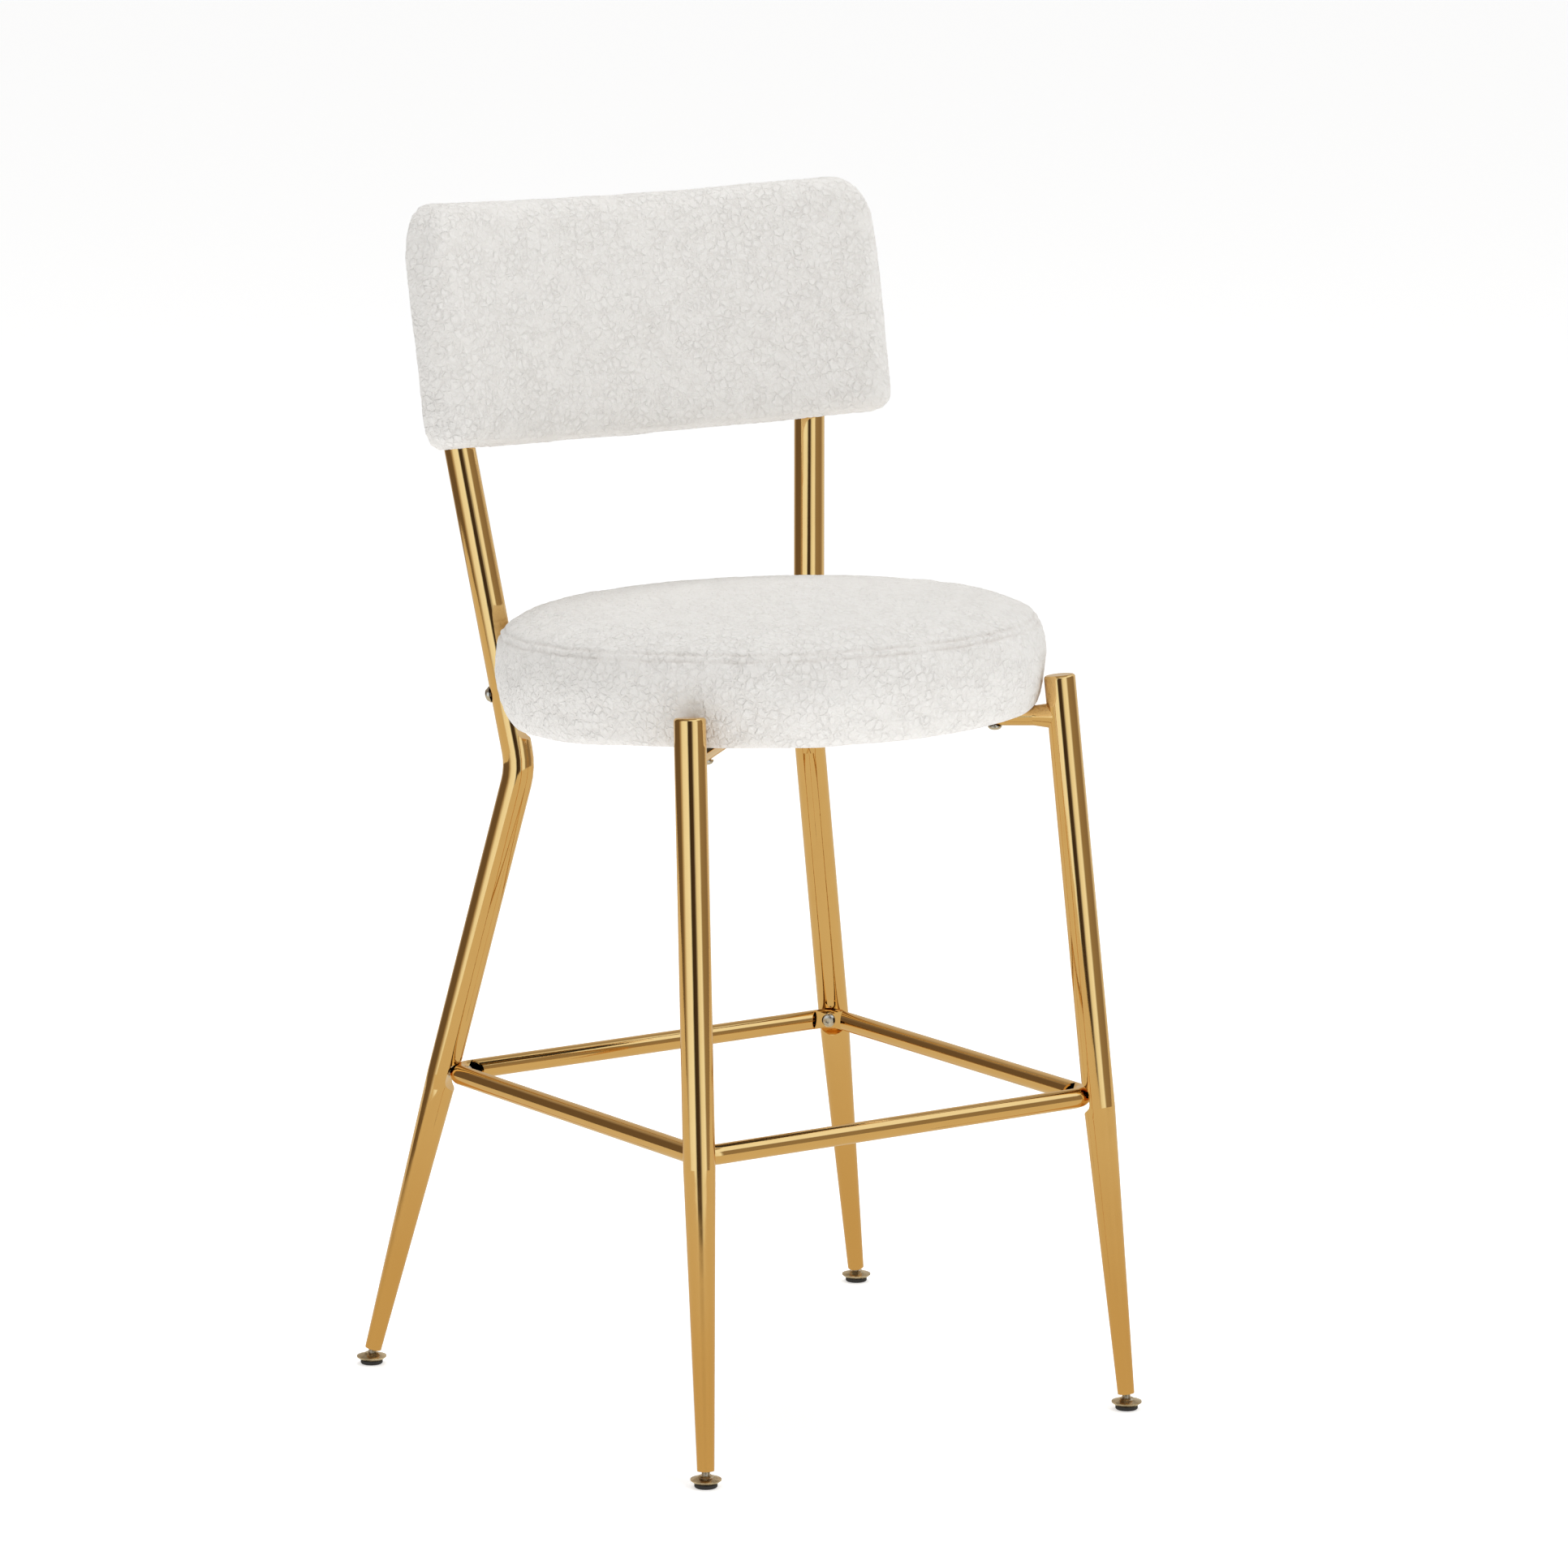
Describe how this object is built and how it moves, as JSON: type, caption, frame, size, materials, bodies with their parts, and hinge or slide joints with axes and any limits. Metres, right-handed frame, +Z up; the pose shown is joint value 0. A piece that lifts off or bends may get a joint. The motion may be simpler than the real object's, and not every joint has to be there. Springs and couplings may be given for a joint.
{
  "type": "bar stool with footrest",
  "caption": "Counter-height stool with a round padded seat, a low curved padded back, splayed tube legs on levelling glides and a square footrest ring",
  "frame": {"origin": "on the floor, under the middle of the stool's overall box", "axes": "+Z up, the sitter faces -Y, +X to the right seen from the front"},
  "size_m": [0.5012, 0.4778, 0.9532],
  "materials": {
    "gold_steel": "polished gold plating",
    "zinc_steel": "zinc plated",
    "glide_metal": "warm nickel",
    "black_rubber": "matt",
    "ivory_fabric": "curly looped pile",
    "foam": "open-cell foam",
    "plywood": "plain plywood",
    "dust_cloth": "non-woven"
  },
  "bodies": {
    "stool_frame": {"backrest_board": "plywood", "backrest_bolts": "zinc_steel", "backrest_foam": "foam", "backrest_front_cover": "ivory_fabric", "backrest_rear_cover": "ivory_fabric", "backrest_t_nuts": "zinc_steel", "cross_tube_long": "gold_steel", "cross_tube_short_front": "gold_steel", "cross_tube_short_rear": "gold_steel", "footrest_bolts": "zinc_steel", "footrest_ring": "gold_steel", "footrest_rivet_nuts": "zinc_steel", "frame_bolts": "zinc_steel", "frame_washers": "zinc_steel", "front_leg_cap_left": "gold_steel", "front_leg_cap_right": "gold_steel", "front_leg_insert_left": "zinc_steel", "front_leg_insert_right": "zinc_steel", "front_leg_left": "gold_steel", "front_leg_right": "gold_steel", "rear_leg_insert_left": "zinc_steel", "rear_leg_insert_right": "zinc_steel", "rear_leg_left": "gold_steel", "rear_leg_right": "gold_steel", "rear_tab_left": "gold_steel", "rear_tab_right": "gold_steel", "seat_board": "plywood", "seat_dust_cover": "dust_cloth", "seat_foam": "foam", "seat_screws": "zinc_steel", "seat_side_cover": "ivory_fabric", "seat_t_nuts": "zinc_steel", "seat_top_cover": "ivory_fabric", "upright_cap_left": "gold_steel", "upright_cap_right": "gold_steel"},
    "front_left_glide": {"front_glide_disc_left": "glide_metal", "front_glide_pad_left": "black_rubber"},
    "front_left_glide_screw": {"front_glide_stud_left": "zinc_steel"},
    "front_right_glide": {"front_glide_disc_right": "glide_metal", "front_glide_pad_right": "black_rubber"},
    "front_right_glide_screw": {"front_glide_stud_right": "zinc_steel"},
    "rear_left_glide": {"rear_glide_disc_left": "glide_metal", "rear_glide_pad_left": "black_rubber"},
    "rear_left_glide_screw": {"rear_glide_stud_left": "zinc_steel"},
    "rear_right_glide": {"rear_glide_disc_right": "glide_metal", "rear_glide_pad_right": "black_rubber"},
    "rear_right_glide_screw": {"rear_glide_stud_right": "zinc_steel"}
  },
  "joints": [
    {"name": "front_left_glide_height", "type": "slide", "parent": "stool_frame", "child": "front_left_glide", "axis": [-0.0457, -0.1068, -0.9932], "range_m": [0, 0.006]},
    {"name": "front_left_glide_screw_turn", "type": "hinge", "parent": "front_left_glide", "child": "front_left_glide_screw", "pos_m": [-0.19953, -0.22706, 0.0072], "axis": [-0.0457, -0.1068, -0.9932], "range_deg": [0, 2160]},
    {"name": "front_right_glide_height", "type": "slide", "parent": "stool_frame", "child": "front_right_glide", "axis": [0.0457, -0.1068, -0.9932], "range_m": [0, 0.006]},
    {"name": "front_right_glide_screw_turn", "type": "hinge", "parent": "front_right_glide", "child": "front_right_glide_screw", "pos_m": [0.19953, -0.22706, 0.0072], "axis": [0.0457, -0.1068, -0.9932], "range_deg": [0, 2160]},
    {"name": "rear_left_glide_height", "type": "slide", "parent": "stool_frame", "child": "rear_left_glide", "axis": [-0.1964, 0.1518, -0.9687], "range_m": [0, 0.006]},
    {"name": "rear_left_glide_screw_turn", "type": "hinge", "parent": "rear_left_glide", "child": "rear_left_glide_screw", "pos_m": [-0.23852, 0.2208, 0.0072], "axis": [-0.1964, 0.1518, -0.9687], "range_deg": [0, 2160]},
    {"name": "rear_right_glide_height", "type": "slide", "parent": "stool_frame", "child": "rear_right_glide", "axis": [0.1964, 0.1518, -0.9687], "range_m": [0, 0.006]},
    {"name": "rear_right_glide_screw_turn", "type": "hinge", "parent": "rear_right_glide", "child": "rear_right_glide_screw", "pos_m": [0.23852, 0.2208, 0.0072], "axis": [0.1964, 0.1518, -0.9687], "range_deg": [0, 2160]}
  ],
  "couplings": [
    {"joint": "front_left_glide_screw_turn", "follows": "front_left_glide_height", "rad_per_m": 6283.2},
    {"joint": "front_right_glide_screw_turn", "follows": "front_right_glide_height", "rad_per_m": 6283.2},
    {"joint": "rear_left_glide_screw_turn", "follows": "rear_left_glide_height", "rad_per_m": 6283.2},
    {"joint": "rear_right_glide_screw_turn", "follows": "rear_right_glide_height", "rad_per_m": 6283.2}
  ]
}
